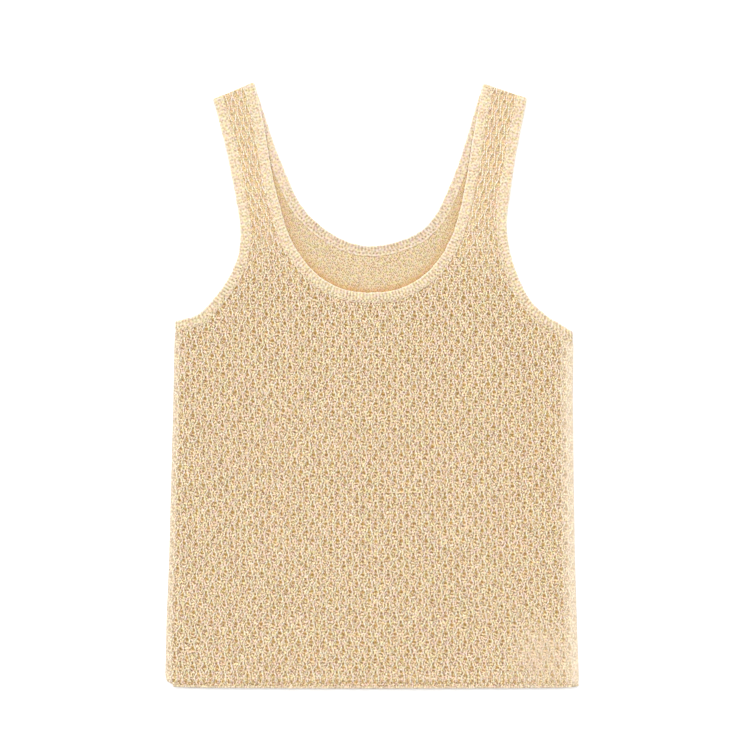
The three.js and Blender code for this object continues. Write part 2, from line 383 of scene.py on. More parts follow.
def closed_sheet(name, plane, heights, quads, base, lattice, materials):
    """A thin closed shell: the shaped top, a rim straight down and a flat base."""
    sides = np.concatenate([quads[:, [corner, (corner + 1) % 4]] for corner in range(4)])
    forward = sides[:, 0] * len(plane) + sides[:, 1]
    backward = sides[:, 1] * len(plane) + sides[:, 0]
    rim = sides[~np.isin(forward, backward)].tolist()
    following = dict(rim)
    loop = [rim[0][0]]
    while following[loop[-1]] != loop[0]:
        loop.append(following[loop[-1]])
    below = list(range(len(plane), len(plane) + len(loop)))
    walls = zip(loop[1:] + loop[:1], loop, below, below[1:] + below[:1])
    faces = quads.tolist() + [list(wall) for wall in walls] + [below[::-1]]
    top = np.column_stack([plane, heights])
    low = np.column_stack([plane[loop], np.full(len(loop), base)])
    lattice = np.vstack([lattice, lattice[loop]])
    return mesh_object(name, np.vstack([top, low]), faces, materials, lattice), loop


def srgb(red, green, blue):
    """A colour as it is seen, from 0 to 255, as the shader wants it."""
    shares = [channel / 255 for channel in (red, green, blue)]
    return (*[s / 12.92 if s <= 0.04045 else ((s + 0.055) / 1.055) ** 2.4 for s in shares], 1)


def add_node(tree, kind, inputs=None, **settings):
    """A shader node with its settings made and its inputs linked or set."""
    made = tree.nodes.new(f"ShaderNode{kind}")
    for name, value in settings.items():
        setattr(made, name, value)
    for socket, value in (inputs or {}).items():
        if isinstance(value, bpy.types.NodeSocket):
            tree.links.new(value, made.inputs[socket])
        else:
            made.inputs[socket].default_value = value
    return made


def compute(tree, operation, a, b=0.0, c=0.0):
    return add_node(tree, "Math", {0: a, 1: b, 2: c}, operation=operation).outputs[0]


def multiply(tree, a, b):
    return compute(tree, "MULTIPLY", a, b)


def split(tree, vector):
    return add_node(tree, "SeparateXYZ", {0: vector}).outputs


def compute_vector(tree, operation, a, b):
    return add_node(tree, "VectorMath", {0: a, 1: b}, operation=operation).outputs


def blend_colours(tree, share, a, b, how="MIX"):
    inputs = {0: share, 6: a, 7: b}
    return add_node(tree, "Mix", inputs, data_type="RGBA", blend_type=how).outputs[2]


def between(tree, value, low, high):
    """A value brought to 0 at low and 1 at high, and kept between them."""
    inputs = {"Value": value, "From Min": low, "From Max": high}
    return add_node(tree, "MapRange", inputs).outputs[0]


def object_places(tree):
    return add_node(tree, "TexCoord").outputs["Object"]


def lattice_places(tree):
    return add_node(tree, "UVMap", uv_map="lattice").outputs[0]


def attribute(tree, name):
    """A value that the mesh keeps at each of its points."""
    return add_node(tree, "Attribute", attribute_name=name).outputs["Fac"]


def noise_at(tree, places, scale, detail=1.0):
    inputs = {"Vector": places, "Scale": scale, "Detail": detail}
    return add_node(tree, "TexNoise", inputs).outputs


def new_group(name, inputs, outputs):
    """An empty shader node group, what comes into it and what it puts out."""
    group = bpy.data.node_groups.new(name, "ShaderNodeTree")
    for in_out, sockets in (("INPUT", inputs), ("OUTPUT", outputs)):
        for label, kind in sockets.items():
            group.interface.new_socket(label, in_out=in_out, socket_type=f"NodeSocket{kind}")
    group_in = group.nodes.new("NodeGroupInput").outputs
    group_out = group.nodes.new("NodeGroupOutput").inputs
    return group, group_in, group_out


# Spun cotton: fine fibres, flecks of light and dark yarn, and slow changes of hue
# from rosy to greenish and from yellow to grey
FIBRE_SCALE = 1400.0
FLECK_SCALE = 1000.0
FLECK_EDGES = (0.3, 0.6)
HUE_SCALE = 330.0
HUE_EDGES = (0.3, 0.7)
ROSY = srgb(255, 240, 248)
GREENISH = srgb(247, 255, 246)
YELLOW = srgb(255, 252, 217)
GREY = srgb(250, 249, 255)
cotton, cotton_in, cotton_out = new_group(
    "spun_cotton",
    {"Vector": "Vector", "Fibre Scale": "Float", "Fleck Scale": "Float"},
    {"Fibre": "Float", "Fleck": "Float", "Tint": "Color"},
)
fibre = noise_at(cotton, cotton_in["Vector"], cotton_in["Fibre Scale"], detail=2.0)[0]
fleck = noise_at(cotton, cotton_in["Vector"], cotton_in["Fleck Scale"], detail=0.0)[0]
hue = noise_at(cotton, cotton_in["Vector"], HUE_SCALE)["Color"]
hue = add_node(cotton, "SeparateColor", {0: hue}).outputs
rosy = blend_colours(cotton, between(cotton, hue[0], *HUE_EDGES), ROSY, GREENISH)
yellow = blend_colours(cotton, between(cotton, hue[1], *HUE_EDGES), YELLOW, GREY)
tint = blend_colours(cotton, 1.0, rosy, yellow, "MULTIPLY")
cotton.links.new(fibre, cotton_out["Fibre"])
cotton.links.new(between(cotton, fleck, *FLECK_EDGES), cotton_out["Fleck"])
cotton.links.new(tint, cotton_out["Tint"])


COTTON_SHINE = 0.25
SHEEN_ROUGHNESS = 0.6


def knit_material(name, roughness, sheen):
    """A cotton material: its tree, its shader's inputs and what the cotton puts out."""
    material = bpy.data.materials.new(name)
    material.use_nodes = True
    tree = material.node_tree
    shader = tree.nodes["Principled BSDF"].inputs
    shader["Roughness"].default_value = roughness
    shader["Specular IOR Level"].default_value = COTTON_SHINE
    shader["Sheen Weight"].default_value = sheen
    shader["Sheen Roughness"].default_value = SHEEN_ROUGHNESS
    inputs = {"Vector": object_places(tree), "Fibre Scale": FIBRE_SCALE, "Fleck Scale": FLECK_SCALE}
    yarn = add_node(tree, "Group", inputs, node_tree=cotton).outputs
    return material, tree, shader, yarn


def flecked(tree, yarn, colour, darkest):
    """The yarn's own colour: flecked down to the darkest share of it, and tinted."""
    shade = add_node(tree, "MapRange", {"Value": yarn["Fleck"], "To Min": darkest})
    shaded = blend_colours(tree, 1.0, colour, shade.outputs[0], "MULTIPLY")
    return blend_colours(tree, 1.0, shaded, yarn["Tint"], "MULTIPLY")


def finish_knit(tree, shader, colour, height, relief):
    """Gives a material its colour and its fine relief."""
    bump = add_node(tree, "Bump", {"Height": height, "Distance": relief, "Strength": 1.0})
    tree.links.new(colour, shader["Base Color"])
    tree.links.new(bump.outputs[0], shader["Normal"])


# Purl stitches: yarn with small dark holes between the loops, no two alike,
# counted along two slanting ways over the stitch lattice
PURL_JITTER = 0.75
HOLE_EDGES = (0.54, 0.18)
HOLE_DEPTHS = (0.5, 0.55)
purls, purls_in, purls_out = new_group(
    "purl_stitches",
    {"Lattice": "Vector", "First Way": "Vector", "Second Way": "Vector"},
    {"Bump": "Float", "Tone": "Float"},
)
first, second = [
    compute_vector(purls, "DOT_PRODUCT", purls_in["Lattice"], purls_in[way])["Value"]
    for way in ("First Way", "Second Way")
]
counted = add_node(purls, "CombineXYZ", {0: first, 1: second}).outputs[0]
inputs = {"Vector": counted, "Scale": 1.0, "Randomness": PURL_JITTER}
stitches = add_node(purls, "TexVoronoi", inputs, voronoi_dimensions="2D").outputs
tone = add_node(purls, "SeparateColor", {0: stitches["Color"]}).outputs[0]
hole = between(purls, stitches["Distance"], *HOLE_EDGES)
hole = multiply(purls, hole, compute(purls, "MULTIPLY_ADD", tone, *HOLE_DEPTHS))
purls.links.new(compute(purls, "SUBTRACT", 1.0, hole), purls_out["Bump"])
purls.links.new(tone, purls_out["Tone"])


def add_purls(tree, in_a_wale, in_a_row):
    """How high and of what tone the purls are, so many steps in a wale and in a row."""
    ways = {"First Way": (in_a_wale, in_a_row, 0), "Second Way": (in_a_wale, -in_a_row, 0)}
    inputs = {"Lattice": lattice_places(tree), **ways}
    purl = add_node(tree, "Group", inputs, node_tree=purls).outputs
    return purl["Bump"], purl["Tone"]


# A round or slanted spot that stands at the same place in every honeycomb cell,
# given in wales and rows from the slit where two wales meet
FIRST_SLIT = 0.25
SPOT_EDGES = (1.3, 0.2)
spots, spots_in, spots_out = new_group(
    "cell_spot",
    {"Lattice": "Vector", "Place": "Vector", "Size": "Vector", "Slant": "Float"},
    {"Mask": "Float"},
)
from_spot = compute_vector(spots, "SUBTRACT", spots_in["Lattice"], spots_in["Place"])[0]
from_spot = split(spots, from_spot)
half_wales = compute(spots, "MULTIPLY_ADD", from_spot["X"], 0.5, -FIRST_SLIT)
rising = compute(spots, "WRAP", compute(spots, "ADD", half_wales, from_spot["Y"]), 0.5, -0.5)
falling = compute(spots, "WRAP", compute(spots, "SUBTRACT", half_wales, from_spot["Y"]), 0.5, -0.5)
across = compute(spots, "ADD", rising, falling)
along = multiply(spots, compute(spots, "SUBTRACT", rising, falling), 0.5)
along = compute(spots, "MULTIPLY_ADD", across, spots_in["Slant"], along)
size = split(spots, spots_in["Size"])
across = compute(spots, "POWER", compute(spots, "DIVIDE", across, size["X"]), 2.0)
along = compute(spots, "POWER", compute(spots, "DIVIDE", along, size["Y"]), 2.0)
mask = between(spots, compute(spots, "ADD", across, along), *SPOT_EDGES)
spots.links.new(mask, spots_out["Mask"])


def add_spots(tree, lattice, share, colour, rows):
    """A colour with the same spots in every cell, all of them faded by a share."""
    for place, size, slant, strength, tone in rows:
        inputs = {"Lattice": lattice, "Place": (*place, 0), "Size": (*size, 1), "Slant": slant}
        spot = add_node(tree, "Group", inputs, node_tree=spots).outputs["Mask"]
        faded = multiply(tree, spot, multiply(tree, share, strength))
        colour = blend_colours(tree, faded, colour, tone)
    return colour


UNEVEN_SCALE = 160.0
UNEVEN_SHIFT = (0.5, 0.16, 0.0)


def uneven_lattice(tree):
    """Places on the stitch lattice, a little out of line, the row and the unevenness."""
    lattice = lattice_places(tree)
    row = split(tree, lattice)["Y"]
    noise = noise_at(tree, object_places(tree), UNEVEN_SCALE)
    shift = compute_vector(tree, "SUBTRACT", noise["Color"], (0.5, 0.5, 0.5))[0]
    shift = compute_vector(tree, "MULTIPLY", shift, UNEVEN_SHIFT)[0]
    return compute_vector(tree, "ADD", lattice, shift)[0], row, noise[0]


PRESSED_SHARE = 0.5
SMOOTH_TONE = srgb(206, 184, 156)
# The colour of the painted highlight along the sides of the knit
SIDE_HIGHLIGHT_TONE = srgb(236, 222, 200)


def pressed_and_highlit(tree, colour):
    """The knit is even in tone where it is pressed, and carries a painted highlight where it rounds
    away along its sides.
    """
    pressed = multiply(tree, attribute(tree, "pressed"), PRESSED_SHARE)
    colour = blend_colours(tree, pressed, colour, SMOOTH_TONE)
    return blend_colours(tree, attribute(tree, "side_highlight"), colour, SIDE_HIGHLIGHT_TONE)


# The marks of every cell, most of them painted shade in its slit, pit and dents and beside its
# wales, a few of them lighter threads: place and size in wales and rows, slant, strength, colour
SLIT_SHADE = srgb(150, 118, 74)
PIT_SHADE = srgb(176, 140, 72)
PIT_HALF_SHADE = srgb(238, 203, 147)
DASH_SHADE = srgb(158, 120, 74)
DOT_SHADE = srgb(150, 126, 90)
THREAD_LIGHT = srgb(255, 238, 214)
SHADE_DOTS = [
    ((-0.28, 0.165), (0.16, 0.07), 0.0, 0.95, DOT_SHADE),
    ((0.17, 0.22), (0.12, 0.05), 0.0, 0.5, DOT_SHADE),
    ((-0.48, -0.16), (0.13, 0.06), 0.0, 0.5, DOT_SHADE),
]
PIT_SPOTS = [
    ((-0.05, 0.13), (0.3, 0.10), 0.0, 0.45, THREAD_LIGHT),
    ((0.55, -0.40), (0.2, 0.08), 0.0, 0.5, THREAD_LIGHT),
    ((0.1, -0.13), (0.25, 0.12), 0.0, 0.5, PIT_HALF_SHADE),
    ((0.15, -0.34), (0.3, 0.05), 0.0, 0.5, PIT_HALF_SHADE),
    ((0.04, 0.0), (0.15, 0.085), 0.0, 0.95, SLIT_SHADE),
    ((0.0, -0.73), (0.17, 0.07), 0.0, 0.5, THREAD_LIGHT),
    ((0.32, -0.35), (0.13, 0.06), 0.0, 0.4, THREAD_LIGHT),
    ((0.12, -0.24), (0.28, 0.088), 0.08, 0.95, PIT_SHADE),
    ((0.0, -0.445), (0.3, 0.053), 0.17, 0.95, DASH_SHADE),
    ((0.57, -0.51), (0.11, 0.08), 0.0, 0.4, DOT_SHADE),
    ((-0.25, -0.666), (0.16, 0.055), 0.0, 0.6, DOT_SHADE),
    ((0.48, -0.64), (0.18, 0.055), 0.0, 0.75, DOT_SHADE),
    ((0.1, -0.63), (0.12, 0.05), 0.0, 0.5, DOT_SHADE),
    ((0.28, -0.5), (0.13, 0.05), 0.0, 0.45, THREAD_LIGHT),
    ((-0.45, -0.5), (0.12, 0.08), 0.0, 0.4, DOT_SHADE),
]

# The ground between the wales: purls with their holes in painted shade, a painted shadow beside
# each wale, the painted shade and lighter threads of every cell, and a row of shaded pits above the
# cast-on edge
PURL_SHADE = srgb(74, 54, 20)
PURL_WARM_SHADE = srgb(132, 78, 28)
PURL_HALF = srgb(204, 174, 108)
PURL_LIGHT = srgb(253, 233, 211)
STRETCH_GOLD = srgb(238, 208, 160)
GROUND_PURLS = (2.55, 5.1)
GROUND_FLECK = 0.5
GROUND_RELIEF = 0.4 * MM
WARM_SHADE_EDGES = (0.3, 0.8)
HOLE_TO_LOOP = (-0.06, 0.8)
HALF_SHARE = 1.6
PRESSED_CLOSES = 0.55
STRETCH_CLOSES = 0.35
STRETCH_GILDS = 0.45
WALE_SHADOW_REACH = (1.5 * MM, 0.9 * MM)
WALE_SHADOW_SHARE = 0.3
PATCHY_EDGES = (0.1, 0.45)
STRETCH_FADES = (2.2, 0.0)
CAST_ON_PIT = 0.42
CAST_ON_PIT_HEIGHT = 0.16
CAST_ON_PIT_EDGES = (0.0, 0.7)
CAST_ON_PIT_SHADE = 0.7

ground, tree, shader, yarn = knit_material("purl_ground", roughness=0.95, sheen=0.15)
uneven_uv, row, noise = uneven_lattice(tree)
bump, tone = add_purls(tree, *GROUND_PURLS)
stretch = attribute(tree, "stretch")
closed = compute(tree, "MULTIPLY_ADD", stretch, STRETCH_CLOSES, bump)
closed = compute(tree, "MULTIPLY_ADD", attribute(tree, "pressed"), PRESSED_CLOSES, closed)
raised = between(tree, closed, *HOLE_TO_LOOP)
colour = blend_colours(tree, between(tree, tone, *WARM_SHADE_EDGES), PURL_SHADE, PURL_WARM_SHADE)
colour = blend_colours(tree, raised, colour, PURL_LIGHT)
halfway = multiply(tree, raised, compute(tree, "SUBTRACT", 1.0, raised))
colour = blend_colours(tree, multiply(tree, halfway, HALF_SHARE), colour, PURL_HALF)
# A painted shadow on the ground beside each wale
beside = multiply(tree, between(tree, attribute(tree, "gap"), *WALE_SHADOW_REACH), WALE_SHADOW_SHARE)
colour = blend_colours(tree, beside, colour, DASH_SHADE)
strength = multiply(tree, between(tree, row, *CAST_ON_ROWS), between(tree, noise, *PATCHY_EDGES))
strength = multiply(tree, strength, between(tree, stretch, *STRETCH_FADES))
colour = add_spots(tree, uneven_uv, strength, colour, PIT_SPOTS + SHADE_DOTS)
# Painted shade in a row of small pits between the wales, just above the cast-on edge
column = multiply(tree, split(tree, uneven_uv)["X"], 2 * math.pi)
column = compute(tree, "COSINE", column)
level = compute(tree, "DIVIDE", compute(tree, "SUBTRACT", row, CAST_ON_PIT), CAST_ON_PIT_HEIGHT)
pit = compute(tree, "ADD", column, compute(tree, "POWER", level, 2.0))
pit = between(tree, multiply(tree, pit, -1.0), *CAST_ON_PIT_EDGES)
colour = blend_colours(tree, multiply(tree, pit, CAST_ON_PIT_SHADE), colour, PIT_SHADE)
colour = blend_colours(tree, multiply(tree, stretch, STRETCH_GILDS), colour, STRETCH_GOLD)
colour = pressed_and_highlit(tree, flecked(tree, yarn, colour, GROUND_FLECK))
finish_knit(tree, shader, colour, bump, GROUND_RELIEF)

# The cloth: raised under the wales, sunk in the pits, thinner towards its folds
# and gathered a little where a band covers its edge
UNDER_BAND = 0.88
PIT_LEVEL = FRONT_BASE + 0.9 * MM
RIDGE_LEVEL = FRONT_BASE + 1.9 * MM
RIDGE_SPREAD = 1.5 * MM
WALE_SPACING = 5.8 * MM
EDGE_RADIUS = 3.4 * MM
BESIDE_BAND = 2.2 * MM
RISE_TO_BAND = 0.9 * MM
CRUMB = 0.1 * MM
PIT_DEPTH = 0.4 * MM
PIT_BELOW_SLIT = 0.27
PIT_WIDTH = 0.3
PIT_HEIGHT = 0.13

front_outline = panel_outline(FRONT_NECK_EDGE, UNDER_BAND)
front_folds = folded_lines(FRONT_NECK_EDGE)
front_bands = banded_lines(FRONT_NECK_EDGE, UNDER_BAND)


def edge_shape(points, folds, bands):
    """How much of its height the cloth keeps near a fold, and how near a band it is."""
    kept = rounded(gap_to_lines(points, folds), EDGE_RADIUS)
    near = 1 - smoothstep(0, BESIDE_BAND, gap_to_lines(points, bands))
    return kept, near


PRESSED_AT = np.array([160.0, -250.0]) * MM
PRESSED_REACH = 26 * MM
PRESSED_SMOOTHING = 0.9
# A painted highlight along each side of the body, wider and stronger on the wearer's left and
# fading out below the armholes: its reach and strength
SIDE_HIGHLIGHT_LEFT = (17 * MM, 0.6)
SIDE_HIGHLIGHT_RIGHT = (9 * MM, 0.5)
SIDE_HIGHLIGHT_UP_TO = (40 * MM, 70 * MM)


def wear_and_light(points):
    """How stretched and how pressed the knit is, and how strong a painted highlight it carries
    along its sides.
    """
    x, y = points[:, 0], points[:, 1]
    away = np.linalg.norm(points - PRESSED_AT, axis=1) / PRESSED_REACH
    on_body = 1 - smoothstep(*SIDE_HIGHLIGHT_UP_TO, y)
    side_highlight = np.zeros(len(points))
    for side, (reach, strength) in ((1, SIDE_HIGHLIGHT_RIGHT), (2, SIDE_HIGHLIGHT_LEFT)):
        inset = abs(x - side_at(y, side))
        side_highlight = np.maximum(side_highlight, strength * (1 - smoothstep(0, reach, inset)) * on_body)
    return {
        "stretch": smoothstep(STRAP_FROM, STRAP_TO, y),
        "pressed": PRESSED_SMOOTHING * np.exp(-(away**2)),
        "side_highlight": side_highlight,
    }


def in_cell(value):
    """How far a value is from the nearest whole number."""
    return (value + 0.5) % 1 - 0.5


plane, lattice, quads = cut_cloth(front_outline, wale_steps=5, row_steps=10)
grid_u, grid_v = lattice.T
gaps = np.full(len(plane), np.inf)
for offset in (-1, 0, 1):
    wale = np.clip(np.round(grid_u).astype(int) + offset, -HALF_WALES, HALF_WALES)
    gaps = np.minimum(gaps, abs(grid_u - wale_place(wale, grid_v)) * WALE_SPACING)
ridges = np.exp(-((gaps / RIDGE_SPREAD) ** 2))
half_wales = grid_u / 2 - FIRST_SLIT
rising = in_cell(half_wales + grid_v + PIT_BELOW_SLIT)
falling = in_cell(half_wales - grid_v - PIT_BELOW_SLIT)
pits = np.exp(-(((rising + falling) / PIT_WIDTH) ** 2) - ((rising - falling) / 2 / PIT_HEIGHT) ** 2)
kept, near = edge_shape(plane, front_folds, front_bands)
heights = PIT_LEVEL + (RIDGE_LEVEL - PIT_LEVEL) * ridges + RANDOM.normal(0, CRUMB, len(plane))
heights += RISE_TO_BAND * near * (1 - ridges)
heights -= PIT_DEPTH * pits
heights = FRONT_BASE + (heights - FRONT_BASE) * kept
front, rim = closed_sheet("front_cloth", plane, heights, quads, FRONT_BASE, lattice, [ground])
for name, values in {"gap": gaps, **wear_and_light(plane)}.items():
    set_attribute(front, name, np.concatenate([values, values[rim]]))
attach(front, "root")
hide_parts("front_panel")


def tubes(name, runs, radius, sides, materials):
    """Round yarns along runs of points, closed at both ends."""
    angles = np.arange(sides) * 2 * np.pi / sides
    points, faces, lattice = [], [], []
    first = 0
    for path, widths, places in runs:
        tangent = directions(path)
        side = np.stack([tangent[:, 1], -tangent[:, 0], np.zeros(len(path))], axis=1)
        side /= np.linalg.norm(side, axis=1, keepdims=True)
        up = np.cross(side, tangent)
        ring = side[:, None] * np.cos(angles)[:, None] + up[:, None] * np.sin(angles)[:, None]
        ring = path[:, None] + (radius * widths)[:, None, None] * ring
        points.append(ring.reshape(-1, 3))
        lattice.append(np.repeat(places, sides, axis=0))
        start = first + np.arange(len(path) - 1)[:, None] * sides
        here, beside = start + np.arange(sides), start + (np.arange(sides) + 1) % sides
        quads = np.stack([here, beside, beside + sides, here + sides], axis=-1).reshape(-1, 4)
        faces += quads.tolist()
        last = first + (len(path) - 1) * sides
        faces.append(list(range(first + sides - 1, first - 1, -1)))
        faces.append(list(range(last, last + sides)))
        first += len(path) * sides
    return mesh_object(name, np.vstack(points), faces, materials, np.vstack(lattice))


# The cast-on edge: the looped cord of yarn that the knitting starts from, along
# the hem of the front, one loop after another and no two quite alike
CORD_INSET = 1.3 * MM
CORD_RADIUS = 0.95 * MM
CORD_SIDES = 8
CORD_PITCH = 2.9 * MM
CORD_STEPS = 6
CORD_END = 2 * MM
CORD_LOOPS = 200
CORD_UNEVEN = 0.22 * MM
CORD_LIFT = 1.05
CORD_WAVE = 0.15 * MM
CORD_WAIST = 0.86
CORD_SWELL = 0.2
CORD_ROW = 0.2
# The cord carries a faint painted highlight, like the sides of the knit
CORD_LOOK = {"gap": 9 * MM, "stretch": 0, "pressed": 0, "side_highlight": 0.25}

hem_length = reach_along(HEM_LINE)[-1]
steps = int(hem_length / CORD_PITCH * CORD_STEPS)
path = places_along(HEM_LINE, np.linspace(CORD_END, hem_length - CORD_END, steps))
tangent = directions(path)
inwards = np.stack([-tangent[:, 1], tangent[:, 0]], axis=1)
inwards *= np.sign(inwards[len(inwards) // 2, 1])
loops = np.arange(steps) / CORD_STEPS
uneven = np.interp(loops, np.arange(CORD_LOOPS), RANDOM.normal(0, CORD_UNEVEN, CORD_LOOPS))
path += inwards * (CORD_INSET + uneven)[:, None]
level = FRONT_BASE + CORD_RADIUS * CORD_LIFT + CORD_WAVE * np.sin(2 * np.pi * loops)
widths = CORD_WAIST + CORD_SWELL * abs(np.sin(np.pi * loops))
places = np.stack([loops, np.full(steps, CORD_ROW)], axis=1)
cord_run = (np.column_stack([path, level]), widths, places)
cast_on = tubes("cast_on_edge", [cord_run], CORD_RADIUS, CORD_SIDES, [ground])
for name, value in CORD_LOOK.items():
    set_attribute(cast_on, name, np.full(steps * CORD_SIDES, value))
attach(cast_on, "root")

# The wales: columns of knit stitches, one tube of yarn each, thick and thin with
# every stitch, and pressed flatter towards the folds
WALE_LIGHT = srgb(255, 250, 238)
WALE_SHADE = srgb(224, 200, 166)
SUNKEN = srgb(222, 194, 152)
STRETCH_WHITE = srgb(255, 249, 240)
SLOW_SIDE = [
    ((-0.72, -0.33), (0.4, 0.13), 0.1, 0.4, srgb(232, 206, 172)),
    ((0.56, -0.25), (0.2, 0.09), 0.0, 0.5, THREAD_LIGHT),
    ((0.66, -0.42), (0.22, 0.07), 0.0, 0.65, srgb(220, 192, 156)),
]
STITCHES_PER_ROW = 7
STITCH_TONE = 0.12
STITCH_RELIEF = 0.5
WALE_RELIEF = 0.25 * MM
WALE_FLECK = 0.72
WALE_TONES = (0.25, 0.55)
GRAIN_SCALE = 620.0
SUNKEN_SCALE = 300.0
SUNKEN_EDGES = (0.5, 0.72)
SUNKEN_SHARE = 0.45
STRETCH_WHITENS = 0.1

wale_yarn, tree, shader, yarn = knit_material("wale_yarn", roughness=0.9, sheen=0.35)
uneven_uv, row, _ = uneven_lattice(tree)
stitch = compute(tree, "SINE", multiply(tree, row, 2 * math.pi * STITCHES_PER_ROW))
places = object_places(tree)
tone = compute(tree, "MULTIPLY_ADD", stitch, STITCH_TONE, noise_at(tree, places, GRAIN_SCALE)[0])
colour = blend_colours(tree, between(tree, tone, *WALE_TONES), WALE_SHADE, WALE_LIGHT)
sunken = between(tree, noise_at(tree, places, SUNKEN_SCALE)[0], *SUNKEN_EDGES)
colour = blend_colours(tree, multiply(tree, sunken, SUNKEN_SHARE), colour, SUNKEN)
strength = between(tree, row, *CAST_ON_ROWS)
colour = add_spots(tree, uneven_uv, strength, colour, SLOW_SIDE + SHADE_DOTS)
whiter = multiply(tree, attribute(tree, "stretch"), STRETCH_WHITENS)
colour = blend_colours(tree, whiter, colour, STRETCH_WHITE)
colour = pressed_and_highlit(tree, flecked(tree, yarn, colour, WALE_FLECK))
height = compute(tree, "MULTIPLY_ADD", stitch, STITCH_RELIEF, yarn["Fibre"])
finish_knit(tree, shader, colour, height, WALE_RELIEF)

WALE_RADIUS = 0.56 * MM
WALE_SIDES = 6
WALE_LEVEL = FRONT_BASE + 1.8 * MM
WALE_STEPS = 14
WALES_FROM = 0.43
STITCH_SWELL = 0.12
STRETCH_SWELL = 0.05
WALE_END = 0.93
SHORTEST_RUN = 6

wale_outline = panel_outline(FRONT_NECK_EDGE, WALE_END)
wale_bands = banded_lines(FRONT_NECK_EDGE, WALE_END)
wale_runs = {"wales_even": [], "wales_odd": []}
rows_up = np.arange(round(WALES_FROM * WALE_STEPS), TOP_ROW * WALE_STEPS + 1) / WALE_STEPS
for wale in range(1 - HALF_WALES, HALF_WALES):
    u = wale_place(np.full(len(rows_up), wale), rows_up)
    path = np.stack(lattice_to_plane(u, rows_up), axis=1)
    within = inside(path, wale_outline)
    changes = np.flatnonzero(np.diff(np.concatenate([[0], within, [0]])))
    for start, end in zip(changes[::2], changes[1::2]):
        if end - start < SHORTEST_RUN:
            continue
        run = path[start:end]
        kept = edge_shape(run, front_folds, wale_bands)[0]
        level = FRONT_BASE + (WALE_LEVEL - FRONT_BASE) * kept
        widths = 1 + STITCH_SWELL * np.where(np.arange(start, end) % 2 == 0, 1, -1)
        widths *= 1 + STRETCH_SWELL * smoothstep(STRAP_FROM, STRAP_TO, run[:, 1])
        places = np.stack([u, rows_up], axis=1)[start:end]
        side = "wales_odd" if wale % 2 else "wales_even"
        wale_runs[side].append((np.column_stack([run, level]), widths, places))
for name, runs in wale_runs.items():
    piece = tubes(name, runs, WALE_RADIUS, WALE_SIDES, [wale_yarn])
    path = np.vstack([run[0][:, :2] for run in runs])
    for look, values in wear_and_light(path).items():
        set_attribute(piece, look, np.repeat(values, WALE_SIDES))
    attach(piece, "root")


# The back: the same knit with its smooth purl side up, where the front neck
# shows it. It lies flat on its outer face and carries everything else.
BACK_NECK = [
    SHOULDER_RIGHT["neck"], (-101.6, 257.0), (-92.5, 229.0), (-80.8, 199.0),
    (-66.0, 168.0), (-44.0, 146.0), (-20.0, 133.3), (1.0, 130.2), (22.0, 133.8),
    (44.0, 143.3), (60.0, 160.5), (73.0, 188.0), (84.0, 217.0), (93.5, 249.0),
    SHOULDER_LEFT["neck"],
]
BACK_NECK_EDGE = (BACK_NECK, -FROM_ARMHOLE_RIGHT, -FROM_ARMHOLE_LEFT)

INSIDE_SHADOW = srgb(146, 120, 76)
INSIDE_LIGHT = srgb(224, 205, 178)
# A painted shadow, warmer and darker, on the inside of the back beside the front neckline and the
# bands
INSIDE_NECK_SHADOW = srgb(202, 152, 88)
INSIDE_PURLS = (2.8, 5.8)
INSIDE_FLECK = 0.84
INSIDE_RELIEF = 0.3 * MM
INSIDE_EDGES = (-0.1, 0.85)
NECK_SHADOW_POWER = 1.3
NECK_SHADOW_SHARE = 0.6
inside_knit, tree, shader, yarn = knit_material("purl_inside", roughness=0.95, sheen=0.1)
bump = add_purls(tree, *INSIDE_PURLS)[0]
colour = blend_colours(tree, between(tree, bump, *INSIDE_EDGES), INSIDE_SHADOW, INSIDE_LIGHT)
shadowed = multiply(tree, compute(tree, "POWER", attribute(tree, "neck_shadow"), NECK_SHADOW_POWER), NECK_SHADOW_SHARE)
colour = blend_colours(tree, shadowed, colour, INSIDE_NECK_SHADOW)
finish_knit(tree, shader, flecked(tree, yarn, colour, INSIDE_FLECK), bump, INSIDE_RELIEF)

# The outer face, which the garment lies on, repeats the cells of the front, with painted shade in
# their pits
CELL_HEIGHT = 16.4 * MM
OUTER_PITS = (-0.2, 0.8)
OUTER_RELIEF = 1.0 * MM
outer_knit, tree, shader, yarn = knit_material("honeycomb_outside", roughness=0.95, sheen=0.2)
xyz = split(tree, object_places(tree))
cell_x = compute(tree, "SINE", multiply(tree, xyz["X"], math.pi / WALE_SPACING))
cell_y = compute(tree, "COSINE", multiply(tree, xyz["Y"], 2 * math.pi / CELL_HEIGHT))
pit = between(tree, multiply(tree, cell_x, cell_y), *OUTER_PITS)
colour = blend_colours(tree, pit, WALE_SHADE, SLIT_SHADE)
finish_knit(tree, shader, colour, compute(tree, "SUBTRACT", yarn["Fibre"], pit), OUTER_RELIEF)

BACK_TOP = WALL - 0.25 * MM
BACK_CRUMB = 0.16 * MM
BACK_EDGE = 0.45
DIP_TO_BAND = 0.25 * MM
SHADE_REACH = 8 * MM
SHADE_WIDENING = 0.09
SHADE_BY_BAND = 0.5
SHADE_FADES = (80 * MM, 150 * MM)
SHADE_LOST = 0.45
back_outline = panel_outline(BACK_NECK_EDGE, UNDER_BAND)
back_folds = folded_lines(BACK_NECK_EDGE)
back_bands = banded_lines(BACK_NECK_EDGE, UNDER_BAND)
plane, lattice, quads = cut_cloth(back_outline, wale_steps=3, row_steps=8)
kept, near = edge_shape(plane, back_folds, back_bands)
heights = BACK_TOP - DIP_TO_BAND * near + RANDOM.normal(0, BACK_CRUMB, len(plane))
heights *= BACK_EDGE + (1 - BACK_EDGE) * kept
back, rim = closed_sheet("back_cloth", plane, heights, quads, 0, lattice, [inside_knit, outer_knit])
outer_face = back.data.polygons[len(back.data.polygons) - 1]
outer_face.material_index = 1
